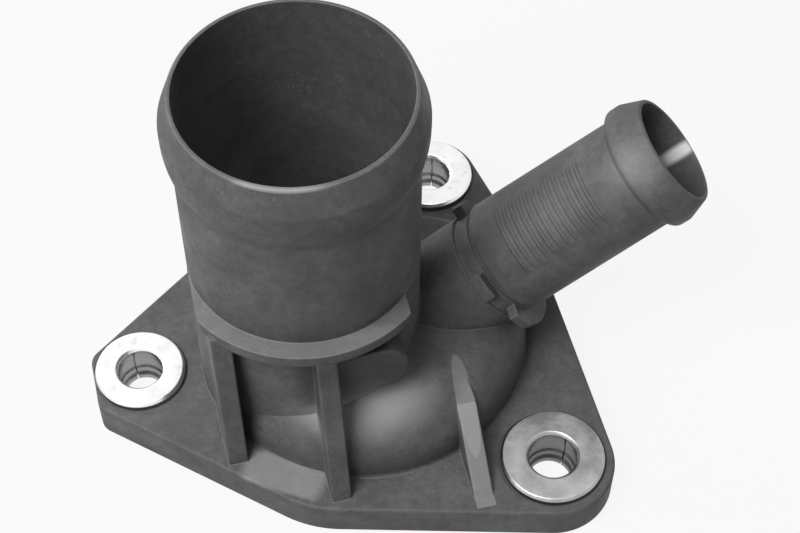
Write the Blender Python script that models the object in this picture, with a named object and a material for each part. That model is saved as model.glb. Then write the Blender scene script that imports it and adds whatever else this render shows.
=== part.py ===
"""Coolant flange: a moulded cover with an upright hose neck, a slanted branch neck,
three metal bushes for the bolts and a sealing ring under the plate.

Layout: the upright neck stands on the origin of the layout, +Z is up and the plate's
underside is at z = 0. The viewer stands at -Y. The last step moves everything so that
the origin is at the middle of the object's footprint.
"""
import math

import bmesh
import bpy
from mathutils import Matrix, Vector

MM = 0.001

# Clearance between pieces that touch, and how far joined forms reach into each other
gap = 0.3 * MM
overlap = 1.0 * MM

# Direction in which the mould's front half leaves: ribs, pad and hose stop follow it
mould_angle = math.radians(14)

# Plate
plate_thickness = 6.5 * MM
plate_edge_round = 0.5 * MM
flange_x = 9.5 * MM
flange_y = 3.2 * MM
flange_rim = 5.7 * MM
front_corner_x = 5.7 * MM
front_corner_radius = 19.0 * MM
left_corner_radius = 2.7 * MM
left_corner_back = 3.3 * MM
left_corner_front = 4.0 * MM
left_margin = 0.3 * MM
right_margin = 1.65 * MM
back_margin = 0.9 * MM

# Dome over the thermostat chamber, placed from the upright neck's axis
dome_x = 8.6 * MM
dome_y = 3.4 * MM
dome_radius = 26.2 * MM
dome_skirt_height = 2.6 * MM
dome_shoulder = 8.4 * MM
dome_crown = 1.0 * MM
dome_foot_fillet = 0.8 * MM
dome_wall = 2.9 * MM
dome_back = 16.85 * MM
dome_back_round = 1.5 * MM
chamber_ledge = 3.4 * MM
chamber_ledge_slope = 0.5 * MM

# Upright neck for the large hose
neck_height = 70.3 * MM
neck_radius = 17.5 * MM
neck_lip_radius = 17.1 * MM
neck_bead_radius = 18.65 * MM
neck_lead_in = 4.6 * MM
neck_bead_land = 1.2 * MM
neck_bead_back = 6.7 * MM
neck_bore_top_radius = 16.5 * MM
neck_bore_foot_radius = 13.8 * MM

# Hose stop on the front of the upright neck
stop_top = 35.7 * MM
stop_thickness = 2.2 * MM
stop_radius = 20.2 * MM
stop_left = 17.6 * MM
stop_right = 12.8 * MM

# Branch neck for the small hose. Angles round it are in degrees, up from its sides
branch_azimuth = math.radians(10.7)
branch_elevation = math.radians(40)
branch_aim_height = 4.1 * MM
branch_reach = 61.9 * MM
branch_tube_radius = 8.9 * MM
branch_tube_foot_radius = 9.2 * MM
branch_lip_radius = 8.8 * MM
branch_bead_radius = 10.1 * MM
branch_lead_in = 3.5 * MM
branch_bead_land = 1.3 * MM
branch_bead_back = 1.4 * MM
branch_bore_mouth_radius = 8.2 * MM
branch_bore_foot_radius = 7.0 * MM
branch_tube_length = 32.1 * MM
branch_groove_width = 0.9 * MM
branch_groove_radius = 8.2 * MM
branch_waist_length = 2.5 * MM
branch_waist_radius = 8.6 * MM
branch_root_radius = 9.1 * MM
branch_block_radius = 10.7 * MM
branch_block_thickness = 1.9 * MM
branch_block_from = 26
branch_block_to = 50
branch_lug_radius = 11.7 * MM
branch_lug_thickness = 1.6 * MM
branch_lug_shoulder = -3.5
branch_lug_from = -19
branch_lug_to = -86
branch_stop_setback = 0.15 * MM

# Ribs that run from the plate up to the neck and the dome, in the mould's direction
rib_thickness = 3.1 * MM
rib_left_x = -15.0 * MM
rib_left_foot = 17.7 * MM
rib_middle_x = -0.8 * MM
rib_middle_foot = 27.9 * MM
rib_right_x = 20.5 * MM
rib_right_foot = 32.3 * MM
rib_right_height = 10.5 * MM
rib_right_rise = math.radians(36.5)
rib_right_round = 14.0 * MM

# Flat pad under the hose stop
pad_face = 18.4 * MM
pad_right = 11.8 * MM
pad_bottom = 22.0 * MM
pad_height = 9.2 * MM

# Bushes, each at its own direction from the dome's centre and clear of the dome
left_bush_azimuth = math.radians(191.56)
left_bush_clearance = 3.04 * MM
left_collar_radius = 7.2 * MM
left_hole_radius = 3.5 * MM
right_bush_azimuth = math.radians(-37.3)
right_bush_clearance = 3.11 * MM
right_collar_radius = 8.15 * MM
right_hole_radius = 3.75 * MM
back_bush_azimuth = math.radians(72.29)
back_bush_clearance = 1.52 * MM
back_collar_radius = 7.45 * MM
back_hole_radius = 3.5 * MM
bush_wall = 1.4 * MM
bush_collar_thickness = 0.9 * MM
bush_chamfer = 0.4 * MM
bush_relief_depth = 0.3 * MM
bush_relief_top = 2.2 * MM
bush_relief_bottom = 5.2 * MM

# Sealing ring in its groove under the plate
seal_land = 1.9 * MM
seal_width = 2.9 * MM
seal_height = 2.7 * MM
seal_recess = 0.1 * MM

# Edges bent less than this are shaded smooth
smooth_angle = math.radians(35)

# Facets around the round forms
round_segments = 72
small_segments = 48
outline_step = 5

# Depth by which cutters pass the faces that they open
cut_past = 2.0 * MM

dome_centre = Vector((dome_x, dome_y, 0))
dome_top = plate_thickness + dome_skirt_height + dome_shoulder
stop_bottom = stop_top - stop_thickness
chamber_radius = dome_radius - dome_wall
flange_radius = dome_radius + flange_rim
seal_inner_radius = chamber_radius + seal_land


def bush_centre(azimuth, clearance, collar_radius):
    """Centre of a bush whose collar keeps clear of the dome."""
    reach = dome_radius + clearance + collar_radius
    return dome_x + reach * math.cos(azimuth), dome_y + reach * math.sin(azimuth)


left_bush_x, left_bush_y = bush_centre(left_bush_azimuth, left_bush_clearance, left_collar_radius)
right_bush_x, right_bush_y = bush_centre(right_bush_azimuth, right_bush_clearance, right_collar_radius)
back_bush_x, back_bush_y = bush_centre(back_bush_azimuth, back_bush_clearance, back_collar_radius)
bushes = (
    ("left_bush", left_bush_x, left_bush_y, left_collar_radius, left_hole_radius),
    ("right_bush", right_bush_x, right_bush_y, right_collar_radius, right_hole_radius),
    ("back_bush", back_bush_x, back_bush_y, back_collar_radius, back_hole_radius),
)


def clear_scene():
    """Start from an empty scene."""
    for item in list(bpy.data.objects):
        bpy.data.objects.remove(item, do_unlink=True)


def make_material(name, colour, roughness, metallic):
    """A Principled material with one colour."""
    material = bpy.data.materials.new(name)
    material.use_nodes = True
    shader = material.node_tree.nodes["Principled BSDF"]
    shader.inputs["Base Color"].default_value = (*colour, 1)
    shader.inputs["Roughness"].default_value = roughness
    shader.inputs["Metallic"].default_value = metallic
    material.diffuse_color = (*colour, 1)
    return material


def add_object(name, mesh_data, material=None):
    """Put a bmesh into the scene as an object with outward faces and smooth round sides."""
    bmesh.ops.recalc_face_normals(mesh_data, faces=mesh_data.faces)
    mesh = bpy.data.meshes.new(name)
    mesh_data.to_mesh(mesh)
    mesh_data.free()
    mesh.shade_smooth()
    mesh.set_sharp_from_angle(angle=smooth_angle)
    if material:
        mesh.materials.append(material)
    item = bpy.data.objects.new(name, mesh)
    bpy.context.scene.collection.objects.link(item)
    return item


def turned(profile, segments=round_segments):
    """Solid of revolution about Z. The profile runs from the axis outward and back to it."""
    data = bmesh.new()
    rings = []
    for radius, height in profile:
        if radius == 0:
            rings.append([data.verts.new((0, 0, height))])
            continue
        ring = []
        for step in range(segments):
            angle = 2 * math.pi * step / segments
            ring.append(data.verts.new((radius * math.cos(angle), radius * math.sin(angle), height)))
        rings.append(ring)
    closed = profile[0][0] != 0
    pairs = list(zip(rings, rings[1:]))
    if closed:
        pairs.append((rings[-1], rings[0]))
    for lower, upper in pairs:
        for step in range(segments):
            following = (step + 1) % segments
            corners = [
                lower[step % len(lower)],
                lower[following % len(lower)],
                upper[following % len(upper)],
                upper[step % len(upper)],
            ]
            face = []
            for corner in corners:
                if corner not in face:
                    face.append(corner)
            data.faces.new(face)
    return data


def extruded(outline, low, high):
    """Prism over an outline in the XY plane, between two heights."""
    data = bmesh.new()
    bottom = [data.verts.new((x, y, low)) for x, y in outline]
    top = [data.verts.new((x, y, high)) for x, y in outline]
    count = len(outline)
    data.faces.new(bottom)
    data.faces.new(top)
    for index in range(count):
        following = (index + 1) % count
        data.faces.new((bottom[index], bottom[following], top[following], top[index]))
    return data


def arc(centre_x, centre_y, radius, start, end, steps):
    """Points on an arc, angles in degrees, both ends included."""
    points = []
    for step in range(steps + 1):
        angle = math.radians(start + (end - start) * step / steps)
        points.append((centre_x + radius * math.cos(angle), centre_y + radius * math.sin(angle)))
    return points


def mirror(outline, mirrored):
    """The outline, or its mirror image on the far side of the parting plane."""
    return [(-x, y) for x, y in outline] if mirrored else outline


def belt_around(circles):
    """Outline of a belt pulled round circles given as (x, y, radius)."""
    points = []
    for x, y, radius in circles:
        points += arc(x, y, radius, 0, 360 - outline_step, 360 // outline_step - 1)
    points.sort()
    outline = []
    for ordered in (points, list(reversed(points))):
        side = []
        for point in ordered:
            while len(side) > 1 and turn(side[-2], side[-1], point) <= 0:
                side.pop()
            side.append(point)
        outline += side[:-1]
    return outline


def turn(first, second, third):
    """Positive where three points turn to the left."""
    ahead = (second[0] - first[0]) * (third[1] - first[1])
    aside = (second[1] - first[1]) * (third[0] - first[0])
    return ahead - aside


def slab(side_profile, thickness):
    """Rib: a side profile in the XZ plane, given its thickness along Y about the middle."""
    data = extruded(side_profile, -thickness / 2, thickness / 2)
    bmesh.ops.rotate(data, verts=data.verts, matrix=Matrix.Rotation(math.pi / 2, 3, "X"))
    return data


def use_as_tools(name, tools, target, operation):
    """Join a group of tools to the target or cut the target with it."""
    group = bpy.data.collections.new(name)
    bpy.context.scene.collection.children.link(group)
    for tool in tools:
        tool.hide_render = True
        tool.display_type = "WIRE"
        bpy.context.scene.collection.objects.unlink(tool)
        group.objects.link(tool)
    modifier = target.modifiers.new(name, "BOOLEAN")
    modifier.operation = operation
    modifier.solver = "EXACT"
    modifier.operand_type = "COLLECTION"
    modifier.collection = group


def plate_circles():
    """Circles that the plate's outline runs round, as (x, y, radius)."""
    front_y = flange_y - flange_radius + front_corner_radius
    circles = [
        (flange_x, flange_y, flange_radius),
        (front_corner_x, front_y, front_corner_radius),
        (right_bush_x, right_bush_y, right_collar_radius + right_margin),
        (back_bush_x, back_bush_y, back_collar_radius + back_margin),
    ]
    outward = left_collar_radius + left_margin - left_corner_radius
    for forward in (-left_corner_back, left_corner_front):
        x = left_bush_x - outward * math.cos(mould_angle) + forward * math.sin(mould_angle)
        y = left_bush_y - outward * math.sin(mould_angle) - forward * math.cos(mould_angle)
        circles.append((x, y, left_corner_radius))
    return circles


def plate_object(material):
    """Plate: a belt round the flange circle and the corners at the bolts."""
    plate = add_object("body", extruded(belt_around(plate_circles()), 0, plate_thickness), material)
    edge = plate.modifiers.new("rounded edges", "BEVEL")
    edge.width = plate_edge_round
    edge.segments = 2
    edge.limit_method = "ANGLE"
    edge.angle_limit = math.radians(60)
    return plate


def dome_profile(radius, foot, skirt_top, shoulder, crown):
    """Half section of a dome: upright skirt, round shoulder and slightly crowned top."""
    profile = [(0, foot), (radius, foot)]
    profile += arc(radius - shoulder, skirt_top, shoulder, 0, 90, 8)
    flat = radius - shoulder
    for step in range(1, 4):
        share = 1 - step / 4
        profile.append((flat * share, skirt_top + shoulder + crown * (1 - share * share)))
    profile.append((0, skirt_top + shoulder + crown))
    return profile


def flatten_back(item, back, rounding, above):
    """Flatten the back of a turned form above a height, with a rounded turn into the wall."""
    start = back - rounding
    for vertex in item.data.vertices:
        beyond = (vertex.co.y - start) / rounding
        if beyond > 0 and vertex.co.z > above:
            vertex.co.y = start + rounding * (1 - math.exp(-beyond))


def dome_object():
    """Dome with a flat back and a small fillet where it leaves the plate."""
    skirt_top = plate_thickness + dome_skirt_height
    profile = dome_profile(dome_radius, plate_thickness, skirt_top, dome_shoulder, dome_crown)
    fillet = arc(
        dome_radius + dome_foot_fillet,
        plate_thickness + dome_foot_fillet,
        dome_foot_fillet,
        255,
        180,
        3,
    )
    outer = fillet[0][0]
    foot = plate_thickness - overlap
    dome = add_object("dome form", turned([(0, foot), (outer, foot)] + fillet + profile[2:]))
    flatten_back(dome, dome_back, dome_back_round, 0)
    dome.location = dome_centre
    return dome


def hose_end(tube, land_radius, lip, top, lead_in, land, back):
    """Profile of a beaded hose end from the tube up to the lip."""
    land_bottom = top - lead_in - land
    profile = []
    steps = 6
    for step in range(steps + 1):
        share = (1 - math.cos(math.pi * step / steps)) / 2
        height = land_bottom - back + back * step / steps
        profile.append((tube + (land_radius - tube) * share, height))
    profile.append((land_radius, top - lead_in))
    profile.append((lip, top))
    return profile


def neck_object():
    """Upright neck with its bead."""
    bead = hose_end(
        neck_radius,
        neck_bead_radius,
        neck_lip_radius,
        neck_height,
        neck_lead_in,
        neck_bead_land,
        neck_bead_back,
    )
    foot = plate_thickness - overlap
    profile = [(0, foot), (neck_radius, foot)] + bead + [(0, neck_height)]
    return add_object("neck form", turned(profile))


def stop_object():
    """Hose stop: a ring cut off by two flats that lie in the mould's direction."""
    start = 180 + math.degrees(math.acos(stop_left / stop_radius))
    end = 360 - math.degrees(math.acos(stop_right / stop_radius))
    outline = arc(0, 0, stop_radius, start, end, 24)
    outline.append((stop_right, 0))
    outline.append((-stop_left, 0))
    stop = add_object("stop form", extruded(outline, stop_bottom, stop_top))
    stop.rotation_euler.z = mould_angle
    return stop


def rib_object(name, profile, across):
    """Rib that stands in the mould's direction. Its profile runs forward along X."""
    rib = add_object(name, slab(profile, rib_thickness))
    rib.rotation_euler.z = mould_angle - math.pi / 2
    rib.location = Matrix.Rotation(mould_angle, 3, "Z") @ Vector((across, 0, 0))
    return rib


def edge_of_circle(radius, across):
    """Distance forward at which a circle round the neck's axis is met."""
    return math.sqrt(max(radius**2 - across**2, 0))


def front_ribs():
    """Two ribs up to the hose stop and one gusset on the dome."""
    foot = plate_thickness - overlap
    ribs = []
    for name, across, reach in (
        ("left rib form", rib_left_x, rib_left_foot),
        ("middle rib form", rib_middle_x, rib_middle_foot),
    ):
        top_reach = edge_of_circle(stop_radius, across) - plate_edge_round
        height = stop_bottom + stop_thickness / 2
        profile = ((0, foot), (reach, foot), (top_reach, height), (0, height))
        ribs.append(rib_object(name, profile, across))
    top = plate_thickness + rib_right_height
    run = rib_right_height / math.tan(rib_right_rise)
    tangent = rib_right_round * math.tan(rib_right_rise / 2)
    slope = 90 - math.degrees(rib_right_rise)
    round_x = rib_right_foot - run - tangent
    profile = [(0, foot), (rib_right_foot + overlap / math.tan(rib_right_rise), foot)]
    profile += arc(round_x, top - rib_right_round, rib_right_round, slope, 90, 4)
    profile.append((0, top))
    ribs.append(rib_object("right rib form", profile, rib_right_x))
    return ribs


def pad_object():
    """Flat pad with one round end, beside the middle rib."""
    half = pad_height / 2
    outline = arc(pad_right - half, 0, half, -90, 90, 10)
    outline.append((rib_middle_x, half))
    outline.append((rib_middle_x, -half))
    pad = add_object("pad form", extruded(outline, 0, pad_face))
    turned_up = Matrix.Rotation(mould_angle, 4, "Z") @ Matrix.Rotation(math.pi / 2, 4, "X")
    pad.matrix_world = Matrix.Translation((0, 0, pad_bottom + half)) @ turned_up
    return pad


def branch_matrix():
    """Frame of the branch neck: Z along its axis, X level and towards the back, Y up."""
    along = Vector(
        (
            math.cos(branch_elevation) * math.cos(branch_azimuth),
            math.cos(branch_elevation) * math.sin(branch_azimuth),
            math.sin(branch_elevation),
        )
    )
    back = Vector((-math.sin(branch_azimuth), math.cos(branch_azimuth), 0))
    up = along.cross(back)
    turning = Matrix((back, up, along)).transposed().to_4x4()
    return Matrix.Translation(dome_centre + Vector((0, 0, branch_aim_height))) @ turning


def branch_objects():
    """Branch neck: beaded tube, groove, root and the pieces of its hose stop."""
    tube_foot = branch_reach - branch_tube_length
    groove_foot = tube_foot - branch_groove_width
    waist_foot = groove_foot - branch_waist_length
    root_foot = chamber_radius / 2
    bead = hose_end(
        branch_tube_radius,
        branch_bead_radius,
        branch_lip_radius,
        branch_reach,
        branch_lead_in,
        branch_bead_land,
        branch_bead_back,
    )
    profile = [
        (0, root_foot),
        (branch_root_radius, root_foot),
        (branch_root_radius, waist_foot),
        (branch_waist_radius, waist_foot),
        (branch_waist_radius, groove_foot),
        (branch_groove_radius, groove_foot),
        (branch_groove_radius, tube_foot),
        (branch_tube_foot_radius, tube_foot),
    ]
    profile += bead
    profile.append((0, branch_reach))
    forms = [add_object("branch form", turned(profile, small_segments))]
    face = groove_foot - branch_stop_setback
    inner = branch_groove_radius - overlap
    for side, mirrored in (("back", False), ("front", True)):
        outline = arc(0, 0, branch_block_radius, branch_block_from, branch_block_to, 5)
        outline += arc(0, 0, inner, branch_block_to, branch_block_from, 5)
        block = extruded(mirror(outline, mirrored), face - branch_block_thickness, face)
        forms.append(add_object(side + " block form", block))
        outline = arc(0, 0, branch_lug_radius, branch_lug_to, branch_lug_from, 9)
        outline += arc(0, 0, branch_block_radius, branch_lug_shoulder, branch_lug_shoulder, 1)[:1]
        outline += arc(0, 0, inner, branch_lug_shoulder, branch_lug_to, 10)
        lug = extruded(mirror(outline, mirrored), face - branch_lug_thickness, face)
        forms.append(add_object(side + " lug form", lug))
    frame = branch_matrix()
    for form in forms:
        form.matrix_world = frame
    return forms


def chamber_cutter():
    """Space under the dome: round at the plate's underside, flat at the back above a ledge."""
    skirt_top = plate_thickness + dome_skirt_height - dome_wall / 2
    shoulder = dome_top - dome_wall - skirt_top
    profile = dome_profile(chamber_radius, -cut_past, skirt_top, shoulder, dome_crown)
    ledge = chamber_ledge + chamber_ledge_slope
    profile[2:2] = [(chamber_radius, chamber_ledge), (chamber_radius, ledge)]
    cutter = add_object("chamber cutter", turned(profile))
    flatten_back(cutter, dome_back - dome_wall, dome_back_round, (chamber_ledge + ledge) / 2)
    cutter.location = dome_centre
    return cutter


def neck_cutter():
    """Tapered bore of the upright neck, down into the chamber."""
    foot = dome_top - 2 * dome_wall
    slope = (neck_bore_top_radius - neck_bore_foot_radius) / (neck_height - foot)
    top = neck_height + cut_past
    profile = (
        (0, foot),
        (neck_bore_foot_radius, foot),
        (neck_bore_top_radius + slope * cut_past, top),
        (0, top),
    )
    return add_object("neck bore cutter", turned(profile))


def branch_cutter():
    """Tapered bore of the branch neck, down into the chamber."""
    foot = (dome_top / 2 - branch_aim_height) / math.sin(branch_elevation)
    slope = (branch_bore_mouth_radius - branch_bore_foot_radius) / (branch_reach - foot)
    top = branch_reach + cut_past
    profile = (
        (0, foot),
        (branch_bore_foot_radius, foot),
        (branch_bore_mouth_radius + slope * cut_past, top),
        (0, top),
    )
    cutter = add_object("branch bore cutter", turned(profile, small_segments))
    cutter.matrix_world = branch_matrix()
    return cutter


def groove_cutter():
    """Groove for the sealing ring round the chamber."""
    inner = seal_inner_radius - gap
    outer = seal_inner_radius + seal_width + gap
    roof = seal_recess + seal_height + gap
    profile = ((inner, -cut_past), (outer, -cut_past), (outer, roof), (inner, roof))
    cutter = add_object("groove cutter", turned(profile))
    cutter.location = dome_centre
    return cutter


def sleeve_cutters():
    """Holes for the sleeves of the bushes."""
    cutters = []
    for name, x, y, _, hole_radius in bushes:
        radius = hole_radius + bush_wall + gap
        top = plate_thickness + cut_past
        profile = ((0, -cut_past), (radius, -cut_past), (radius, top), (0, top))
        cutter = add_object(name + " hole cutter", turned(profile, small_segments))
        cutter.location = (x, y, 0)
        cutters.append(cutter)
    return cutters


def body_object(material):
    """One moulding: all forms joined, then the inside and the holes cut out."""
    body = plate_object(material)
    forms = [dome_object(), neck_object(), stop_object(), pad_object()]
    forms += front_ribs()
    forms += branch_objects()
    use_as_tools("joined forms", forms, body, "UNION")
    cutters = [chamber_cutter(), neck_cutter(), branch_cutter(), groove_cutter()]
    cutters += sleeve_cutters()
    use_as_tools("cutters", cutters, body, "DIFFERENCE")
    return body, forms + cutters


def bush_object(name, x, y, collar_radius, hole_radius, material):
    """Rolled metal bush: sleeve, collar on the plate and a relieved hole."""
    sleeve = hole_radius + bush_wall
    relief = hole_radius + bush_relief_depth
    seat = plate_thickness + gap
    top = seat + bush_collar_thickness
    small = bush_chamfer / 2
    profile = (
        (hole_radius + bush_chamfer, 0),
        (sleeve, 0),
        (sleeve, seat),
        (collar_radius, seat),
        (collar_radius, top - small),
        (collar_radius - small, top),
        (hole_radius + bush_chamfer, top),
        (hole_radius, top - bush_chamfer),
        (hole_radius, top - bush_relief_top),
        (relief, top - bush_relief_top - bush_relief_depth),
        (relief, top - bush_relief_bottom + bush_relief_depth),
        (hole_radius, top - bush_relief_bottom),
        (hole_radius, bush_chamfer),
    )
    bush = add_object(name, turned(profile, small_segments), material)
    bush.location = (x, y, 0)
    return bush


def seal_object(material):
    """Sealing ring with a lens-shaped section, level with the plate's underside."""
    half = seal_width / 2
    middle = seal_inner_radius + half
    low = seal_recess
    flat = half / 3
    profile = (
        (middle - flat, low),
        (middle + flat, low),
        (middle + half, low + seal_height / 3),
        (middle + half, low + 2 * seal_height / 3),
        (middle + flat, low + seal_height),
        (middle - flat, low + seal_height),
        (middle - half, low + 2 * seal_height / 3),
        (middle - half, low + seal_height / 3),
    )
    seal = add_object("face_seal", turned(profile), material)
    seal.location = dome_centre
    return seal


def centre_on_footprint(parts, tools):
    """Move everything so that the origin is under the middle of the object."""
    bpy.context.view_layer.update()
    graph = bpy.context.evaluated_depsgraph_get()
    corners = []
    for part in parts:
        mesh = part.evaluated_get(graph).data
        corners += [part.matrix_world @ vertex.co for vertex in mesh.vertices]
    middle = Vector((0, 0, 0))
    for axis in (0, 1):
        low = min(corner[axis] for corner in corners)
        high = max(corner[axis] for corner in corners)
        middle[axis] = (low + high) / 2
    for item in parts + tools:
        item.location -= middle


def build():
    """Make the whole flange."""
    clear_scene()
    nylon = make_material("glass filled nylon", (0.045, 0.046, 0.048), 0.5, 0.0)
    steel = make_material("zinc plated steel", (0.72, 0.73, 0.75), 0.3, 1.0)
    rubber = make_material("sealing rubber", (0.02, 0.02, 0.02), 0.7, 0.0)
    body, tools = body_object(nylon)
    parts = [body]
    for name, x, y, collar_radius, hole_radius in bushes:
        parts.append(bush_object(name, x, y, collar_radius, hole_radius, steel))
    parts.append(seal_object(rubber))
    centre_on_footprint(parts, tools)


build()
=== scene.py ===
import math

import bmesh
import bpy
from mathutils import Matrix, Vector


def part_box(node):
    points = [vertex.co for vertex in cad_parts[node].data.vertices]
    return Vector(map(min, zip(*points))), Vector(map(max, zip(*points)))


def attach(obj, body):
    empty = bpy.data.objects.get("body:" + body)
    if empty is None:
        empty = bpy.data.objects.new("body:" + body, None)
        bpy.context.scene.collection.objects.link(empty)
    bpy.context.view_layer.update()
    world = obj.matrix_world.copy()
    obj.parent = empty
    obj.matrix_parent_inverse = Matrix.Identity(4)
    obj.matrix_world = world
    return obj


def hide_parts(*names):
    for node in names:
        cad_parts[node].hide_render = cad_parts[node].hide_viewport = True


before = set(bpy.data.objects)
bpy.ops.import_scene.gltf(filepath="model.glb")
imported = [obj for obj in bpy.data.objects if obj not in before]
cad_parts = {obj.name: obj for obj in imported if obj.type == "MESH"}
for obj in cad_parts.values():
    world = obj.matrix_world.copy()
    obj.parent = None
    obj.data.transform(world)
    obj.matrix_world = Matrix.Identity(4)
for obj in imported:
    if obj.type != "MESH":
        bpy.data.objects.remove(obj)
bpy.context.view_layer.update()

# Everything is drawn in millimetres round the upright neck's foot and set down in metres.
METRES = 0.001
CUT_PAST = 2

# The mould's own direction, in degrees from the plate's: ribs, pad and hose stop follow it
MOULD_TURN = 14

# Segments around the round forms, and the angle in degrees from which an edge is shaded sharp
FINE_ROUND = 180
ROUND = 144
TUBE_ROUND = 120
SMALL_ROUND = 96
SHARP_ANGLE = 32

PLATE_TOP = 6.5
DOME = (8.6, 3.4)
DOME_RADIUS = 26.2
DOME_FILLET = 0.7
DOME_BACK = 16.85
DOME_BACK_ROUND = 1.5
DOME_WALL = 2.9
CHAMBER_RADIUS = 23.3
CHAMBER_LEDGE = (3.4, 3.9)

NECK_TOP = 70.3
NECK_RADIUS = 17.5
STOP_TOP = 35.7
STOP_BOTTOM = 33.5
STOP_RADIUS = 20.2
STOP_LEFT = 17.6
STOP_RIGHT = 12.8

RIB_THICKNESS = 3.1
RIGHT_RIB_ACROSS = 20.5
RIGHT_RIB_FOOT = 32.3
RIGHT_RIB_HEIGHT = 10.5
RIGHT_RIB_ROUND = 14
RIGHT_RIB_RISE = 36.5
RIGHT_RIB_TIP = 11.8
RIGHT_RIB_FULL = 20.2
PAD_FACE = 18.4
PAD_HALF_HEIGHT = 4.6
PAD_END = 7.2
PAD_MIDDLE = 26.6

BRANCH_AZIMUTH = 10.7
BRANCH_RISE = 40.0
BRANCH_AIM = 4.1
BRANCH_REACH = 61.9
BRANCH_TUBE = 8.9
BRANCH_TUBE_FOOT = BRANCH_REACH - 32.1
BRANCH_GROOVE_FOOT = BRANCH_TUBE_FOOT - 0.9
BRANCH_WAIST_FOOT = BRANCH_TUBE_FOOT - 3.4
STOP_SETBACK = 0.15

# Grip ridges on the branch: distance of the first from the mouth and from each other, and for
# each group the middle and half width in degrees, the first and last distance from the mouth
# and the height
RIDGE_START = 11.35
RIDGE_PITCH = 1.34
RIDGE_FADE_ANGLE = 16
RIDGE_FADE_LENGTH = 0.7
RIDGE_GROUPS = ((116, 42, 11.0, 27.8, 0.5), (172, 15, 11.0, 15.4, 0.2))

# Bores as (radius, distance) at their foot and past their mouth
NECK_BORE = ((13.8, 11.7), (16.59, 72.3))
BRANCH_BORE = ((7.0, 7.2), (8.24, 63.9))
SEAL_GROOVE = (24.9, 28.4, 3.1)

LEFT_BOLT = (-27.1, -3.9)
RIGHT_BOLT = (38.4, -19.3)
BACK_BOLT = (19.3, 36.9)
COLLAR_TOP = 7.7
COLLAR_BOTTOM = 6.3

# Bushes: node that each stands for, place, radius of the collar and radius of the hole
BUSHES = (
    ("left_bush", LEFT_BOLT, 7.2, 3.5),
    ("right_bush", RIGHT_BOLT, 8.15, 3.75),
    ("back_bush", BACK_BOLT, 7.45, 3.5),
)
SEAM_ANGLES = (115, 55, 80)

# Lights, in metres: where they aim and how wide they are
LIGHT_AIM = (0, 0, 0.025)
LIGHT_SIZE = 0.36

# Colours of painted light, a painted glint and painted shade laid on the nylon
PAINTED_LIGHT = (0.45, 0.45, 0.45)
PAINTED_GLINT = (0.8, 0.8, 0.8)
PAINTED_SHADE = (0.025, 0.025, 0.026)

left_low, left_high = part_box("left_bush")
neck_foot = Vector(
    (
        (left_low.x + left_high.x) / 2 - LEFT_BOLT[0] * METRES,
        (left_low.y + left_high.y) / 2 - LEFT_BOLT[1] * METRES,
        0,
    )
)


# ---- Forms

def new_form(name, data):
    """A form made of drawn faces, pointing outward."""
    bmesh.ops.recalc_face_normals(data, faces=data.faces)
    mesh = bpy.data.meshes.new(name)
    data.to_mesh(mesh)
    data.free()
    form = bpy.data.objects.new(name, mesh)
    bpy.context.scene.collection.objects.link(form)
    return form


def arc(x, y, radius, start, end, steps):
    """Points on an arc, in degrees."""
    points = []
    for step in range(steps + 1):
        angle = math.radians(start + (end - start) * step / steps)
        points.append((x + radius * math.cos(angle), y + radius * math.sin(angle)))
    return points


def eased(points, radius, closed=False, steps=4, least=18):
    """The same outline with its corners rounded."""
    count = len(points)
    result = []
    for index, point in enumerate(points):
        if not closed and index in (0, count - 1):
            result.append(point)
            continue
        here = Vector(point)
        before = Vector(points[index - 1])
        after = Vector(points[(index + 1) % count])
        back, ahead = before - here, after - here
        if back.length < 1e-6 or ahead.length < 1e-6:
            result.append(point)
            continue
        bend = math.degrees(back.angle(-ahead))
        if bend < least:
            result.append(point)
            continue
        reach = min(radius, back.length * 0.45, ahead.length * 0.45)
        first = here + back.normalized() * reach
        last = here + ahead.normalized() * reach
        for step in range(steps + 1):
            share = step / steps
            spot = first * (1 - share) ** 2 + here * 2 * share * (1 - share) + last * share**2
            result.append((spot.x, spot.y))
    return result


def turned(name, profile, segments=ROUND):
    """A form turned about Z from a profile of (radius, height)."""
    data = bmesh.new()
    rings = []
    for radius, height in profile:
        if radius == 0:
            rings.append([data.verts.new((0, 0, height))])
            continue
        ring = []
        for step in range(segments):
            angle = 2 * math.pi * step / segments
            ring.append(data.verts.new((radius * math.cos(angle), radius * math.sin(angle), height)))
        rings.append(ring)
    pairs = list(zip(rings, rings[1:]))
    if profile[0][0] != 0:
        pairs.append((rings[-1], rings[0]))
    for lower, upper in pairs:
        for step in range(segments):
            following = (step + 1) % segments
            face = []
            for ring, place in ((lower, step), (lower, following), (upper, following), (upper, step)):
                corner = ring[place % len(ring)]
                if corner not in face:
                    face.append(corner)
            data.faces.new(face)
    return new_form(name, data)


def prism(name, outline, low, high):
    """A form pulled up between two heights from an outline."""
    data = bmesh.new()
    face = data.faces.new([data.verts.new((x, y, low)) for x, y in outline])
    pulled = bmesh.ops.extrude_face_region(data, geom=[face])
    moved = [item for item in pulled["geom"] if isinstance(item, bmesh.types.BMVert)]
    bmesh.ops.translate(data, verts=moved, vec=(0, 0, high - low))
    return new_form(name, data)


def ease_edges(form, width, segments=3, angle=40):
    """Round the edges of a form before it is joined to others."""
    edge = form.modifiers.new("eased edges", "BEVEL")
    edge.width = width
    edge.segments = segments
    edge.limit_method = "ANGLE"
    edge.angle_limit = math.radians(angle)
    return form


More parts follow.
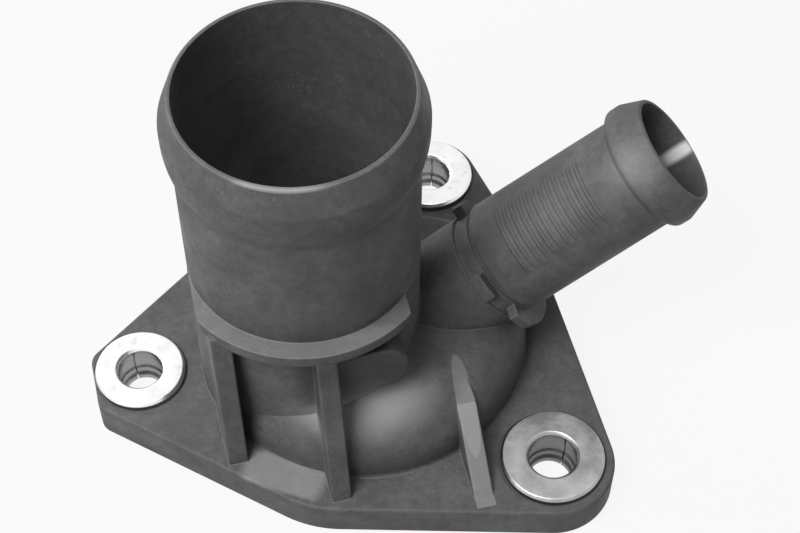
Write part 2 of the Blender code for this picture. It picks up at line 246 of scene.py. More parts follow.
def join_and_cut(base, forms, cutters):
    """Join forms to the base, cut the cutters out of it and settle the result."""
    for name, tools, operation in (("joined", forms, "UNION"), ("cut", cutters, "DIFFERENCE")):
        if not tools:
            continue
        group = bpy.data.collections.new(name)
        bpy.context.scene.collection.children.link(group)
        for tool in tools:
            bpy.context.scene.collection.objects.unlink(tool)
            group.objects.link(tool)
        change = base.modifiers.new(name, "BOOLEAN")
        change.operation = operation
        change.solver = "EXACT"
        change.operand_type = "COLLECTION"
        change.collection = group
    settle(base)
    for tool in forms + cutters:
        bpy.data.objects.remove(tool, do_unlink=True)
    return base


def settle(piece):
    """Apply what is stacked on a piece."""
    bpy.context.view_layer.update()
    graph = bpy.context.evaluated_depsgraph_get()
    mesh = bpy.data.meshes.new_from_object(piece.evaluated_get(graph))
    piece.modifiers.clear()
    piece.data = mesh
    return piece


def set_down(piece, finish, stands_for):
    """Scale a piece to metres, shade it, give it its finish and fix it to the flange."""
    bpy.context.view_layer.update()
    piece.data.transform(piece.matrix_world)
    piece.matrix_world = Matrix.Identity(4)
    piece.data.transform(Matrix.Translation(neck_foot) @ Matrix.Scale(METRES, 4))
    piece.data.shade_smooth()
    piece.data.set_sharp_from_angle(angle=math.radians(SHARP_ANGLE))
    piece.data.materials.clear()
    piece.data.materials.append(finish)
    weighted = piece.modifiers.new("even shading", "WEIGHTED_NORMAL")
    weighted.keep_sharp = True
    weighted.weight = 60
    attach(piece, "root")
    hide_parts(stands_for)


def mould_frame():
    """Turn from the mould's own direction to the plate's."""
    return Matrix.Rotation(math.radians(MOULD_TURN), 4, "Z")


def branch_frame():
    """Frame of the slanted branch: X to the back, Y up, Z towards its mouth."""
    azimuth, rise = math.radians(BRANCH_AZIMUTH), math.radians(BRANCH_RISE)
    along = Vector((math.cos(rise) * math.cos(azimuth), math.cos(rise) * math.sin(azimuth), math.sin(rise)))
    back = Vector((-math.sin(azimuth), math.cos(azimuth), 0))
    turning = Matrix((back, along.cross(back), along)).transposed().to_4x4()
    return Matrix.Translation((DOME[0], DOME[1], BRANCH_AIM)) @ turning


# ---- Plate

def belt_round(circles):
    """Outline of a belt pulled round circles."""
    points = sorted(point for x, y, radius in circles for point in arc(x, y, radius, 0, 357, 119))
    outline = []
    for ordered in (points, points[::-1]):
        side = []
        for point in ordered:
            while len(side) > 1 and turns_right(side[-2], side[-1], point):
                side.pop()
            side.append(point)
        outline += side[:-1]
    return outline


def turns_right(first, second, third):
    """True where three points run straight or turn to the right."""
    ahead = (second[0] - first[0]) * (third[1] - first[1])
    return ahead <= (second[1] - first[1]) * (third[0] - first[0])


def plate_outline():
    """Belt round the flange circle, a wide front corner, two bolts and the left corner's two turns."""
    circles = [(9.5, 3.2, 31.9), (5.7, -9.7, 19.0), (*RIGHT_BOLT, 9.8), (*BACK_BOLT, 8.35)]
    turn = math.radians(MOULD_TURN)
    for forward in (-3.3, 4.0):
        x = LEFT_BOLT[0] - 4.8 * math.cos(turn) + forward * math.sin(turn)
        y = LEFT_BOLT[1] - 4.8 * math.sin(turn) - forward * math.cos(turn)
        circles.append((x, y, 2.7))
    return belt_round(circles)


def make_plate():
    """Plate with eased edges, onto which everything else is joined."""
    return ease_edges(prism("flange_body", plate_outline(), 0, PLATE_TOP), 0.55, 4)


# ---- Dome, neck and hose stop

def dome_section(radius, foot, skirt_top, shoulder, crown):
    """Half section: upright skirt, round shoulder and slightly crowned top."""
    profile = [(0, foot), (radius, foot)]
    profile += arc(radius - shoulder, skirt_top, shoulder, 0, 90, 16)
    flat = radius - shoulder
    for step in range(1, 8):
        share = 1 - step / 8
        profile.append((flat * share, skirt_top + shoulder + crown * (1 - share * share)))
    profile.append((0, skirt_top + shoulder + crown))
    return profile


def flatten_back(form, back, above=0.0):
    """Flatten the back of a turned form above a height, with a rounded turn into the wall."""
    start = back - DOME_BACK_ROUND
    for vertex in form.data.vertices:
        beyond = (vertex.co.y - start) / DOME_BACK_ROUND
        if beyond > 0 and vertex.co.z > above:
            vertex.co.y = start + DOME_BACK_ROUND * (1 - math.exp(-beyond))


def make_dome():
    """Dome with a flat back and a small fillet that meets the plate in a fine edge."""
    section = dome_section(DOME_RADIUS, PLATE_TOP, 9.1, 8.4, 1.0)
    fillet = arc(DOME_RADIUS + DOME_FILLET, PLATE_TOP + DOME_FILLET, DOME_FILLET, 232, 180, 5)
    foot = PLATE_TOP - 1
    dome = turned("dome", [(0, foot), (fillet[0][0], foot)] + fillet + section[2:], FINE_ROUND)
    flatten_back(dome, DOME_BACK)
    dome.location = (*DOME, 0)
    return dome


def hose_end(tube, land_radius, lip, top, lead_in, land, back):
    """Beaded end of a hose neck, from the tube up to the lip, with a steep foot to its bead."""
    land_bottom = top - lead_in - land
    profile = []
    for step in range(11):
        share = 1 - (1 - step / 10) ** 2.5
        profile.append((tube + (land_radius - tube) * share, land_bottom - back + back * step / 10))
    return profile + [(land_radius, top - lead_in), (lip, top)]


def make_neck():
    """Upright neck with its bead."""
    foot = PLATE_TOP - 1
    end = hose_end(NECK_RADIUS, land_radius=18.65, lip=17.1, top=NECK_TOP, lead_in=4.6, land=1.2, back=6.3)
    profile = [(0, foot), (NECK_RADIUS, foot)] + end + [(0, NECK_TOP)]
    return turned("neck", eased(profile, 0.35, least=15), FINE_ROUND)


def make_stop():
    """Hose stop: a ring on the neck's front, cut off by two flats in the mould's direction."""
    start = 180 + math.degrees(math.acos(STOP_LEFT / STOP_RADIUS))
    end = 360 - math.degrees(math.acos(STOP_RIGHT / STOP_RADIUS))
    outline = arc(0, 0, STOP_RADIUS, start, end, 60) + [(STOP_RIGHT, 0), (-STOP_LEFT, 0)]
    stop = prism("stop", outline, STOP_BOTTOM, STOP_TOP)
    stop.matrix_world = mould_frame()
    return ease_edges(stop, 0.22, 2, 30)


# ---- Ribs and pad

def rib_frame(across):
    """Frame of a rib: X forward in the mould's direction, Z up."""
    return mould_frame() @ Matrix.Translation((across, 0, 0)) @ Matrix.Rotation(-math.pi / 2, 4, "Z")


def rib(name, profile, across):
    """A rib standing in the mould's direction, drawn from the side."""
    form = prism(name, profile, -RIB_THICKNESS / 2, RIB_THICKNESS / 2)
    form.matrix_world = rib_frame(across) @ Matrix.Rotation(math.pi / 2, 4, "X")
    return ease_edges(form, 0.3, 3, 30)


def make_ribs():
    """Two ribs up to the hose stop, and one on the dome that ends in a point."""
    foot = PLATE_TOP - 1
    ribs = []
    for name, across, reach in (("left rib", -15.0, 17.7), ("middle rib", -0.8, 27.9)):
        top_reach = math.sqrt(STOP_RADIUS**2 - across**2) - 0.5
        height = (STOP_TOP + STOP_BOTTOM) / 2
        ribs.append(rib(name, [(0, foot), (reach, foot), (top_reach, height), (0, height)], across))
    rise = math.radians(RIGHT_RIB_RISE)
    top = PLATE_TOP + RIGHT_RIB_HEIGHT
    middle = RIGHT_RIB_FOOT - RIGHT_RIB_HEIGHT / math.tan(rise) - RIGHT_RIB_ROUND * math.tan(rise / 2)
    profile = [(0, foot), (RIGHT_RIB_FOOT + 1 / math.tan(rise), foot)]
    profile += arc(middle, top - RIGHT_RIB_ROUND, RIGHT_RIB_ROUND, 90 - RIGHT_RIB_RISE, 90, 12) + [(0, top)]
    right_rib = rib("right rib", profile, RIGHT_RIB_ACROSS)
    full, wide = RIGHT_RIB_FULL, RIB_THICKNESS / 2 + 0.05
    beside = [(-1, -4), (full, -4), (full, -wide), (RIGHT_RIB_TIP, 0), (full, wide), (full, 4), (-1, 4)]
    point_cutter = prism("point", beside, 0, 20)
    point_cutter.matrix_world = rib_frame(RIGHT_RIB_ACROSS)
    ribs.append(join_and_cut(right_rib, [], [point_cutter]))
    return ribs


def make_pad():
    """Flat pad with one round end, beside the middle rib."""
    outline = arc(PAD_END, 0, PAD_HALF_HEIGHT, -90, 90, 24)
    outline += [(-0.8, PAD_HALF_HEIGHT), (-0.8, -PAD_HALF_HEIGHT)]
    pad = prism("pad", outline, 0, PAD_FACE)
    turned_up = mould_frame() @ Matrix.Rotation(math.pi / 2, 4, "X")
    pad.matrix_world = Matrix.Translation((0, 0, PAD_MIDDLE)) @ turned_up
    return ease_edges(pad, 0.3, 3, 30)


# ---- Branch

def within(value):
    """A value kept between 0 and 1."""
    return min(max(value, 0), 1)


def ridge_height(reach, angle):
    """Height of the fine grip ridges at a place on the branch's tube."""
    from_mouth = BRANCH_REACH - reach
    wave = 0.5 - 0.5 * math.cos(2 * math.pi * (from_mouth - RIDGE_START) / RIDGE_PITCH)
    height = 0
    for middle, half_width, first, last, rise in RIDGE_GROUPS:
        share = within((half_width - abs(angle - middle)) / RIDGE_FADE_ANGLE)
        near_end = within((from_mouth - first) / RIDGE_FADE_LENGTH)
        far_end = within((last - from_mouth) / RIDGE_FADE_LENGTH)
        height += rise * share * share * (3 - 2 * share) * near_end * far_end * wave**2
    return height


def make_branch_tube():
    """Beaded tube with a groove behind it and fine grip ridges on its upper front."""
    tube_foot, groove_foot, waist_foot = BRANCH_TUBE_FOOT, BRANCH_GROOVE_FOOT, BRANCH_WAIST_FOOT
    mouth = BRANCH_REACH
    foot = CHAMBER_RADIUS / 2
    start = [(0, foot), (9.1, foot), (9.1, waist_foot), (8.6, waist_foot), (8.6, groove_foot)]
    start += [(8.2, groove_foot), (8.2, tube_foot), (9.2, tube_foot)]
    end = hose_end(BRANCH_TUBE, land_radius=10.1, lip=8.8, top=mouth, lead_in=3.5, land=1.3, back=1.4)
    profile = eased(start + end + [(0, mouth)], 0.25, least=15)
    detailed = []
    for here, following in zip(profile, profile[1:]):
        detailed.append(here)
        length = following[1] - here[1]
        if length > 12 and here[0] > 8.8 and here[1] > tube_foot:
            steps = int(length / 0.167)
            for step in range(1, steps):
                share = step / steps
                detailed.append((here[0] + (following[0] - here[0]) * share, here[1] + length * share))
    detailed.append(profile[-1])
    tube = turned("branch", detailed, TUBE_ROUND)
    for vertex in tube.data.vertices:
        around = math.degrees(math.atan2(vertex.co.y, vertex.co.x)) % 360
        radius = math.hypot(vertex.co.x, vertex.co.y)
        if radius > 8.5 and tube_foot < vertex.co.z < mouth - 8:
            grown = 1 + ridge_height(vertex.co.z, around) / radius
            vertex.co.x *= grown
            vertex.co.y *= grown
    tube.matrix_world = branch_frame()
    return tube


def make_branch_stops():
    """A block above and a lug below on each side of the branch, behind its groove."""
    face = BRANCH_GROOVE_FOOT - STOP_SETBACK
    forms = []
    for side in (1, -1):
        block = arc(0, 0, 10.7, 26, 50, 10) + arc(0, 0, 7.2, 50, 26, 6)
        lug = arc(0, 0, 11.7, -86, -19, 24)
        lug += arc(0, 0, 10.7, -3.5, -3.5, 1)[:1] + arc(0, 0, 7.2, -3.5, -86, 12)
        for name, outline, thickness in (("block", block, 1.9), ("lug", lug, 1.6)):
            form = prism(name, [(side * x, y) for x, y in outline], face - thickness, face)
            form.matrix_world = branch_frame()
            forms.append(ease_edges(form, 0.2, 2, 30))
    return forms


# ---- Openings

def bore(name, foot, mouth, segments):
    """A tapered cutter between two places given as (radius, distance)."""
    return turned(name, [(0, foot[1]), foot, mouth, (0, mouth[1])], segments)


def make_cutters():
    """The chamber, both bores, the seal's groove and a stepped seat for each bush."""
    section = dome_section(CHAMBER_RADIUS, -CUT_PAST, 7.65, 6.95, 1.0)
    section[2:2] = [(CHAMBER_RADIUS, height) for height in CHAMBER_LEDGE]
    chamber = turned("chamber", section, ROUND)
    flatten_back(chamber, DOME_BACK - DOME_WALL, sum(CHAMBER_LEDGE) / 2)
    chamber.location = (*DOME, 0)
    neck = bore("neck bore", *NECK_BORE, FINE_ROUND)
    branch = bore("branch bore", *BRANCH_BORE, SMALL_ROUND)
    branch.matrix_world = branch_frame()
    inner, outer, roof = SEAL_GROOVE
    groove = turned("groove", [(inner, -CUT_PAST), (outer, -CUT_PAST), (outer, roof), (inner, roof)], ROUND)
    groove.location = (*DOME, 0)
    cutters = [chamber, neck, branch, groove]
    for name, (x, y), collar, hole in BUSHES:
        sleeve = hole + 1.7
        floor = COLLAR_BOTTOM - 0.1
        top = PLATE_TOP + CUT_PAST
        profile = [(0, -CUT_PAST), (sleeve, -CUT_PAST), (sleeve, floor)]
        profile += [(collar + 0.35, floor), (collar + 0.45, top), (0, top)]
        seat = turned(name + " seat", profile, SMALL_ROUND)
        seat.location = (x, y, 0)
        cutters.append(seat)
    return cutters


# ---- Bushes and seal

def make_bush(name, place, collar, hole, seam_angle):
    """Rolled bush: sleeve, collar with a turned-over rim, relieved hole and its seam."""
    top = COLLAR_TOP
    profile = [
        (hole + 1.4, 0),
        (hole + 1.4, COLLAR_BOTTOM),
        (collar, COLLAR_BOTTOM),
        (collar, top - 0.42),
        (collar - 0.14, top - 0.3),
        (collar - 0.34, top),
        (hole + 0.45, top),
        (hole, top - 0.5),
        (hole, top - 2.2),
        (hole + 0.3, top - 2.5),
        (hole + 0.3, top - 4.9),
        (hole, top - 5.2),
        (hole, 1.5),
        (hole - 0.45, 1.0),
        (hole - 0.45, 0),
    ]
    bush = turned(name + "_rolled", eased(profile, 0.12, closed=True, steps=3, least=20), SMALL_ROUND)
    slit = [(hole - 0.5, -0.1), (hole + 0.45, -0.1), (hole + 0.45, 0.1), (hole - 0.5, 0.1)]
    seam = prism("seam", slit, -1, top - 0.55)
    seam.rotation_euler.z = math.radians(seam_angle)
    join_and_cut(bush, [], [seam])
    bush.location = (*place, 0)
    return bush


def make_seal():
    """Sealing ring with a rounded section, slightly wider than high, in the groove under the plate."""
    half_width, half_height = 1.45, 1.35
    middle = 25.2 + half_width
    profile = arc(middle, 0.1 + half_height, half_height, 0, 330, 11)
    profile = [(middle + (x - middle) * half_width / half_height, z) for x, z in profile]
    seal = turned("face_seal_ring", profile, ROUND)
    seal.location = (*DOME, 0)
    return seal


# ---- Finishes

def node(tree, kind, inputs=None, **settings):
    """Add a shader node, set it and link what it takes from others."""
    made = tree.nodes.new(kind)
    for name, value in settings.items():
        setattr(made, name, value)
    for name, value in (inputs or {}).items():
        if isinstance(value, bpy.types.NodeSocket):
            tree.links.new(value, made.inputs[name])
        else:
            made.inputs[name].default_value = value
    return made


def new_group(name, inputs, outputs):
    """An empty effect group with named inputs and outputs."""
    group = bpy.data.node_groups.new(name, "ShaderNodeTree")
    for label, kind, value in inputs:
        socket = group.interface.new_socket(label, in_out="INPUT", socket_type=kind)
        if value is not None:
            socket.default_value = value
    for label, kind in outputs:
        group.interface.new_socket(label, in_out="OUTPUT", socket_type=kind)
    return group, group.nodes.new("NodeGroupInput"), group.nodes.new("NodeGroupOutput")


def maths(tree, operation, first, second=0.0, third=None):
    """Output of a Math node on values or sockets."""
    made = tree.nodes.new("ShaderNodeMath")
    made.operation = operation
    for place, value in enumerate((first, second, third)):
        if isinstance(value, bpy.types.NodeSocket):
            tree.links.new(value, made.inputs[place])
        elif value is not None:
            made.inputs[place].default_value = value
    return made.outputs[0]


def noise(tree, place, scale, detail, roughness=0.5):
    """Value of a noise texture."""
    inputs = {"Vector": place, "Scale": scale, "Detail": detail, "Roughness": roughness}
    return node(tree, "ShaderNodeTexNoise", inputs).outputs[0]


def grain_group():
    """Moulded grain: a height for the bump and a cloudy mask for colour."""
    sizes = [("Grain Scale", "NodeSocketFloat", 2600.0), ("Cloud Scale", "NodeSocketFloat", 190.0)]
    masks = [(label, "NodeSocketFloat") for label in ("Height", "Cloud", "Mottle")]
    group, given, out = new_group("moulded grain", sizes, masks)
    place = node(group, "ShaderNodeTexCoord").outputs["Object"]
    fine = noise(group, place, given.outputs["Grain Scale"], 3.0)
    pits = noise(group, place, 900.0, 4.0, 0.6)
    cloud = noise(group, place, given.outputs["Cloud Scale"], 6.0)
    mottle = noise(group, place, 620.0, 5.0, 0.7)
    height = maths(group, "ADD", maths(group, "MULTIPLY", fine, 0.5), maths(group, "MULTIPLY", pits, 0.8))
    group.links.new(height, out.inputs["Height"])
    group.links.new(cloud, out.inputs["Cloud"])
    group.links.new(mottle, out.inputs["Mottle"])
    return group


def sharp_edges_group():
    """Sharp edges: a mask that is high where a face turns sharply, inward or outward, and a rounded normal.
    """
    inputs = [("Radius", "NodeSocketFloat", 0.0004), ("Strength", "NodeSocketFloat", 4.0)]
    outputs = [("Mask", "NodeSocketFloat"), ("Normal", "NodeSocketVector")]
    group, given, out = new_group("sharp edges", inputs, outputs)
    round_normal = node(group, "ShaderNodeBevel", {"Radius": given.outputs["Radius"]}, samples=6).outputs[0]
    plain = node(group, "ShaderNodeNewGeometry").outputs["Normal"]
    facing = node(group, "ShaderNodeVectorMath", {0: round_normal, 1: plain}, operation="DOT_PRODUCT")
    aside = maths(group, "SUBTRACT", 1.0, facing.outputs["Value"])
    turned_away = maths(group, "MULTIPLY", aside, given.outputs["Strength"])
    mask = node(group, "ShaderNodeClamp", {"Value": turned_away}).outputs[0]
    group.links.new(mask, out.inputs["Mask"])
    group.links.new(round_normal, out.inputs["Normal"])
    return group


def scuff_group():
    """Handling scuffs: a mask of small pale specks and dents."""
    inputs, outputs = [("Scale", "NodeSocketFloat", 420.0)], [("Mask", "NodeSocketFloat")]
    group, given, out = new_group("handling scuffs", inputs, outputs)
    place = node(group, "ShaderNodeTexCoord").outputs["Object"]
    patches = noise(group, place, 120.0, 2.0)
    specks = noise(group, place, given.outputs["Scale"], 5.0)
    shares = []
    for value, start, gain in ((specks, 0.59, 12.0), (patches, 0.42, 5.0)):
        raised = maths(group, "MULTIPLY", maths(group, "SUBTRACT", value, start), gain)
        shares.append(node(group, "ShaderNodeClamp", {"Value": raised}).outputs[0])
    group.links.new(maths(group, "MULTIPLY", *shares), out.inputs["Mask"])
    return group


def patch_group():
    """A place on the part: a mask inside a turned box or ball that fades towards its edge."""
    inputs = [(label, "NodeSocketVector", None) for label in ("Location", "Rotation", "Size")]
    inputs += [("Roundness", "NodeSocketFloat", 0.0), ("Fade", "NodeSocketFloat", 0.1)]
    group, given, out = new_group("local patch", inputs, [("Mask", "NodeSocketFloat")])
    place = node(group, "ShaderNodeTexCoord").outputs["Object"]
    placed = {"Vector": place, "Location": given.outputs["Location"]}
    placed.update({"Rotation": given.outputs["Rotation"], "Scale": given.outputs["Size"]})
    local = node(group, "ShaderNodeMapping", placed, vector_type="TEXTURE").outputs[0]
    away = node(group, "ShaderNodeVectorMath", {0: local}, operation="ABSOLUTE").outputs[0]
    across, along, upward = node(group, "ShaderNodeSeparateXYZ", {0: away}).outputs
    box = maths(group, "MAXIMUM", maths(group, "MAXIMUM", across, along), upward)
    ball = node(group, "ShaderNodeVectorMath", {0: local}, operation="LENGTH").outputs["Value"]
    shape = node(group, "ShaderNodeMix", {"Factor": given.outputs["Roundness"], "A": box, "B": ball})
    inside = maths(group, "DIVIDE", maths(group, "SUBTRACT", 1.0, shape.outputs[0]), given.outputs["Fade"])
    clamped = node(group, "ShaderNodeClamp", {"Value": inside}).outputs[0]
    squared = maths(group, "MULTIPLY", clamped, clamped)
    smooth = maths(group, "MULTIPLY", squared, maths(group, "MULTIPLY_ADD", clamped, -2.0, 3.0))
    group.links.new(smooth, out.inputs["Mask"])
    return group


def set_group(tree, group, values):
    """Add an effect group to a material with its own values."""
    made = tree.nodes.new("ShaderNodeGroup")
    made.node_tree = group
    for name, value in values.items():
        made.inputs[name].default_value = value
    return made


def blend(tree, share, first, second):
    """Mix of two colours by a mask."""
    made = tree.nodes.new("ShaderNodeMix")
    made.data_type = "RGBA"
    tree.links.new(share, made.inputs["Factor"])
    for name, value in (("A", first), ("B", second)):
        socket = [item for item in made.inputs if item.name == name and item.type == "RGBA"][0]
        if isinstance(value, bpy.types.NodeSocket):
            tree.links.new(value, socket)
        else:
            socket.default_value = (*value, 1)
    return [item for item in made.outputs if item.type == "RGBA"][0]


def spread(tree, value, low, high, to_low, to_high):
    """Map a value from one range to another."""
    made = tree.nodes.new("ShaderNodeMapRange")
    tree.links.new(value, made.inputs["Value"])
    for name, number in (("From Min", low), ("From Max", high), ("To Min", to_low), ("To Max", to_high)):
        made.inputs[name].default_value = number
    return made.outputs["Result"]


def new_finish(name):
    """A material with its tree and its Principled shader."""
    finish = bpy.data.materials.new(name)
    finish.use_nodes = True
    tree = finish.node_tree
    return finish, tree, tree.nodes["Principled BSDF"]


def surface(tree, shader, colour, roughness, grain, strength, distance, sharp_edges=None):
    """Link a finish's colour, roughness and grain, with eased edges where sharp edges are given."""
    height = grain.outputs["Height"]
    bump = node(tree, "ShaderNodeBump", {"Strength": strength, "Distance": distance, "Height": height})
    if sharp_edges:
        tree.links.new(sharp_edges.outputs["Normal"], bump.inputs["Normal"])
    tree.links.new(colour, shader.inputs["Base Color"])
    tree.links.new(roughness, shader.inputs["Roughness"])
    tree.links.new(bump.outputs[0], shader.inputs["Normal"])


def painted_light_and_shade():
    """Places of painted light and painted shade in millimetres: frame, half sizes, roundness, fade, share
    and tone.
    """
    def at(x, y, z, turn=0):
        return Matrix.Translation((x, y, z)) @ Matrix.Rotation(math.radians(turn), 4, "Z")

    branch = branch_frame()
    painted_mouth_glint = branch @ at(0, 0, 59.8, 303.5) @ at(8.1, 0, 0)
    return (
        # Painted highlight on the lip of the upright neck, all round and at its front
        (at(0, 0, 70.35), (17.6, 17.6, 0.2), 0, 0.02, 0.08, PAINTED_LIGHT),
        (at(-2, -16.9, 70.3), (9.5, 2.2, 0.6), 0.6, 0.6, 0.4, PAINTED_LIGHT),
        # Painted highlight on the top of the hose stop
        (at(0, -11, 35.75), (22, 22, 0.15), 0, 0.02, 0.16, PAINTED_LIGHT),
        # Painted highlight on the top of the right rib and its point
        (at(26.44, -21.28, 11.4, MOULD_TURN), (1.52, 6.85, 7.0), 0, 0.02, 0.26, PAINTED_LIGHT),
        (at(24.78, -14.64, 14.5, MOULD_TURN), (1.55, 8.4, 8.0), 1, 0.05, 0.2, PAINTED_LIGHT),
        # Painted highlight on the plate between the left and middle ribs
        (at(-3.2, -22.6, 6.5, -19), (7.6, 3.4, 0.6), 0.2, 0.3, 0.3, PAINTED_LIGHT),
        # Painted highlight on the front of the dome, and a short painted highlight line beside the neck
        (at(8.4, -14.6, 17.6), (14.5, 10.5, 8.0), 1, 1.0, 0.72, PAINTED_LIGHT),
        (at(19.9, -0.6, 18.3, -42), (2.5, 0.45, 1.2), 0.5, 0.5, 0.35, PAINTED_LIGHT),
        # Branch: painted highlights on the bead, in a streak inside its mouth, and on the tube's upper
        # front
        (branch @ at(-5.2, 8.4, 57.6), (6.5, 6.5, 6.5), 1, 1.0, 0.22, PAINTED_LIGHT),
        (painted_mouth_glint, (0.9, 1.5, 4.2), 0.5, 0.7, 0.95, PAINTED_GLINT),
        (branch @ at(-4, 8.2, 42), (7, 5, 14), 1, 1.0, 0.14, PAINTED_LIGHT),
        # Painted light on the left of the neck's bore, and on the plate's left corner
        (at(-12.5, 3, 52), (4.4, 11, 16), 0.3, 0.6, 0.22, PAINTED_LIGHT),
        (at(-24, -8, 4), (14, 14, 4), 1, 0.8, 0.1, PAINTED_LIGHT),
        # Painted shade inside the neck
        (at(0, 0, 50), (16.95, 16.95, 400), 1, 0.01, 0.32, PAINTED_SHADE),
        # Painted shade on the right end of the hose stop, and on the pad and neck under it
        (at(14.5, -10.5, 34.6), (6, 5, 1.6), 0, 0.5, 0.45, PAINTED_SHADE),
        (at(8.0, -15.5, 26.0, MOULD_TURN), (10.5, 5.2, 9.0), 0.2, 0.3, 0.6, PAINTED_SHADE),
        # Painted shade at the foot of the neck's bead, and on the right side of the dome
        (at(0, 0, 57.9), (22, 22, 0.9), 0, 0.9, 0.35, PAINTED_SHADE),
        (at(31.0, -4.0, 11.0), (11, 15, 9.0), 1, 0.7, 0.4, PAINTED_SHADE),
    )


def nylon_finish(groups, dark, light, wear_and_highlight_tone):
    """Glass-filled nylon: dark grey, cloudy, finely grained, with painted light and shade in places, and
    paler along its edges: partly wear, partly a painted edge highlight.
    """
    finish, tree, shader = new_finish("moulded nylon")
    grain = set_group(tree, groups["grain"], {"Grain Scale": 2600.0, "Cloud Scale": 170.0})
    sharp_edges = set_group(tree, groups["sharp_edges"], {"Radius": 0.0003, "Strength": 8.0})
    scuffs = set_group(tree, groups["scuffs"], {"Scale": 2300.0})
    cloud = spread(tree, grain.outputs["Cloud"], 0.35, 0.68, 0.0, 1.0)
    colour = blend(tree, cloud, dark, light)
    mottle = spread(tree, grain.outputs["Mottle"], 0.42, 0.62, 0.0, 0.5)
    colour = blend(tree, mottle, colour, tuple(0.62 * value for value in dark))
    # Painted light and painted shade laid on in their places
    for place, size, roundness, fade, share, tone in painted_light_and_shade():
        values = {"Location": neck_foot + place.translation * METRES, "Rotation": place.to_euler()}
        values.update({"Size": Vector(size) * METRES, "Roundness": roundness, "Fade": fade})
        patch = set_group(tree, groups["patch"], values)
        colour = blend(tree, maths(tree, "MULTIPLY", patch.outputs["Mask"], share), colour, tone)
    colour = blend(tree, maths(tree, "MULTIPLY", scuffs.outputs["Mask"], 0.28), colour, wear_and_highlight_tone)
    # Paler where a face turns sharply, concave corners too: partly wear, partly a painted edge highlight
    colour = blend(tree, maths(tree, "MULTIPLY", sharp_edges.outputs["Mask"], 0.6), colour, wear_and_highlight_tone)
    shader.inputs["Specular IOR Level"].default_value = 0.2
    roughness = spread(tree, grain.outputs["Cloud"], 0.35, 0.68, 0.62, 0.5)
    surface(tree, shader, colour, roughness, grain, 0.55, 0.00012, sharp_edges)
    return finish


def steel_finish(name, groups, dark, light, rough_low, rough_high):
    """Plated steel: slightly cloudy, scuffed by handling, with painted shade inside its hole."""
    finish, tree, shader = new_finish(name)
    shader.inputs["Metallic"].default_value = 1.0
    grain = set_group(tree, groups["grain"], {"Grain Scale": 1800.0, "Cloud Scale": 260.0})
    sharp_edges = set_group(tree, groups["sharp_edges"], {"Radius": 0.0002, "Strength": 3.0})
    scuffs = set_group(tree, groups["scuffs"], {"Scale": 700.0})
    cloud = spread(tree, grain.outputs["Cloud"], 0.3, 0.7, 0.0, 1.0)
    colour = blend(tree, cloud, dark, light)
    colour = blend(tree, maths(tree, "MULTIPLY", scuffs.outputs["Mask"], 0.35), colour, (0.35, 0.35, 0.36))
    # Painted shade: everything below the collar's top, the hole's wall included, is darkened
    half_depth = 3.6 * METRES
    values = {"Location": (0, 0, half_depth), "Size": (1, 1, half_depth), "Fade": 0.05}
    painted_hole_shade = set_group(tree, groups["patch"], values).outputs["Mask"]
    colour = blend(tree, maths(tree, "MULTIPLY", painted_hole_shade, 0.75), colour, (0.13, 0.13, 0.13))
    roughness = spread(tree, grain.outputs["Cloud"], 0.3, 0.7, rough_low, rough_high)
    surface(tree, shader, colour, roughness, grain, 0.25, 0.00008, sharp_edges)
    return finish


def rubber_finish(groups):
    """Rubber of the sealing ring: black and matte."""
    finish, tree, shader = new_finish("sealing rubber")
    grain = set_group(tree, groups["grain"], {"Grain Scale": 3200.0, "Cloud Scale": 240.0})
    colour = blend(tree, grain.outputs["Cloud"], (0.012, 0.012, 0.013), (0.03, 0.03, 0.031))
    roughness = spread(tree, grain.outputs["Cloud"], 0.3, 0.7, 0.75, 0.6)
    surface(tree, shader, colour, roughness, grain, 0.2, 0.0001)
    return finish


# ---- Studio

def white_rays(tree):
    """Mask of the rays that see the plain white background."""
    path = tree.nodes.new("ShaderNodeLightPath")
    mirrored = maths(tree, "MAXIMUM", path.outputs["Is Glossy Ray"], path.outputs["Is Transmission Ray"])
    return maths(tree, "MAXIMUM", path.outputs["Is Camera Ray"], mirrored)


def floor_finish():
    """White floor that shows as white to the camera and keeps a soft shadow."""
    finish, tree, shader = new_finish("white floor")
    shader.inputs["Base Color"].default_value = (0.4, 0.4, 0.4, 1)
    shader.inputs["Roughness"].default_value = 0.9
    shader.inputs["Specular IOR Level"].default_value = 0.0
    glow = node(tree, "ShaderNodeEmission", {"Color": (1, 1, 1, 1), "Strength": 1.0})
    share = maths(tree, "MULTIPLY", white_rays(tree), 0.9)
    mixed = tree.nodes.new("ShaderNodeMixShader")
    tree.links.new(share, mixed.inputs[0])
    tree.links.new(shader.outputs[0], mixed.inputs[1])
    tree.links.new(glow.outputs[0], mixed.inputs[2])
    tree.links.new(mixed.outputs[0], tree.nodes["Material Output"].inputs["Surface"])
    return finish


def make_floor():
    """Plain wide floor just under the flange."""
    data = bmesh.new()
    bmesh.ops.create_grid(data, x_segments=1, y_segments=1, size=3)
    floor = new_form("floor", data)
    floor.location.z = -0.0003
    floor.data.materials.append(floor_finish())


def area_light(name, place, power):
    """Round soft light aimed at the flange."""
    lamp = bpy.data.lights.new(name, "AREA")
    lamp.shape = "DISK"
    lamp.size = LIGHT_SIZE
    lamp.energy = power
    holder = bpy.data.objects.new(name, lamp)
    holder.location = place
    holder.rotation_euler = (Vector(LIGHT_AIM) - Vector(place)).to_track_quat("-Z", "Y").to_euler()
    bpy.context.scene.collection.objects.link(holder)


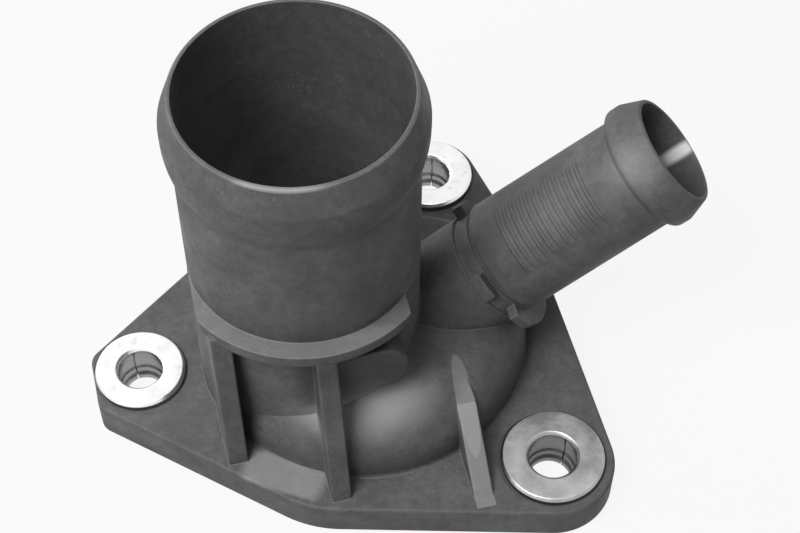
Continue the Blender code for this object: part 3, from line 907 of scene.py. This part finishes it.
def make_light():
    """A main light from the front left, two weaker ones and a dim even world."""
    world = bpy.data.worlds.new("studio")
    bpy.context.scene.world = world
    world.use_nodes = True
    tree = world.node_tree
    tree.nodes.clear()
    soft = node(tree, "ShaderNodeBackground", {"Color": (1, 1, 1, 1), "Strength": 0.13})
    white = node(tree, "ShaderNodeBackground", {"Color": (1, 1, 1, 1), "Strength": 1.0})
    mixed = tree.nodes.new("ShaderNodeMixShader")
    tree.links.new(white_rays(tree), mixed.inputs[0])
    tree.links.new(soft.outputs[0], mixed.inputs[1])
    tree.links.new(white.outputs[0], mixed.inputs[2])
    out = tree.nodes.new("ShaderNodeOutputWorld")
    tree.links.new(mixed.outputs[0], out.inputs["Surface"])
    area_light("key_light", (-0.243, -0.243, 0.521), 4.5)
    area_light("side_light", (-0.393, 0.393, 0.255), 1.3)
    area_light("top_light", (0, 0, 0.63), 0.7)


def make_camera():
    """Camera at the place and angle from which the photograph was taken."""
    camera = bpy.data.cameras.new("camera")
    camera.sensor_width = 36
    camera.lens = 80.82
    camera.clip_start = 0.01
    holder = bpy.data.objects.new("camera", camera)
    ahead = Vector((0, 0.5878, -0.809)).normalized()
    right = Vector((1, 0.0065, 0.0047))
    right = (right - ahead * right.dot(ahead)).normalized()
    up = right.cross(ahead)
    turning = Matrix((right, up, -ahead)).transposed().to_4x4()
    place = neck_foot + Vector((14.44, -159.71, 250.33)) * METRES
    holder.matrix_world = Matrix.Translation(place) @ turning
    bpy.context.scene.collection.objects.link(holder)
    bpy.context.scene.camera = holder


# ---- Build

groups = {"grain": grain_group(), "sharp_edges": sharp_edges_group(), "scuffs": scuff_group(), "patch": patch_group()}
nylon = nylon_finish(groups, (0.075, 0.076, 0.078), (0.1, 0.101, 0.103), (0.2, 0.2, 0.2))
bright_steel = steel_finish("bright plated steel", groups, (0.8, 0.8, 0.81), (0.9, 0.9, 0.91), 0.25, 0.35)
grey_steel = steel_finish("grey plated steel", groups, (0.28, 0.28, 0.285), (0.46, 0.46, 0.47), 0.3, 0.42)
rubber = rubber_finish(groups)

body = make_plate()
forms = [make_dome(), make_neck(), make_stop(), make_pad(), make_branch_tube()]
join_and_cut(body, forms + make_ribs() + make_branch_stops(), make_cutters())
set_down(body, nylon, "body")
steels = (bright_steel, grey_steel, bright_steel)
for (name, place, collar, hole), seam_angle, steel in zip(BUSHES, SEAM_ANGLES, steels):
    set_down(make_bush(name, place, collar, hole, seam_angle), steel, name)
set_down(make_seal(), rubber, "face_seal")

make_floor()
make_light()
make_camera()
bpy.context.scene.view_settings.view_transform = "Standard"
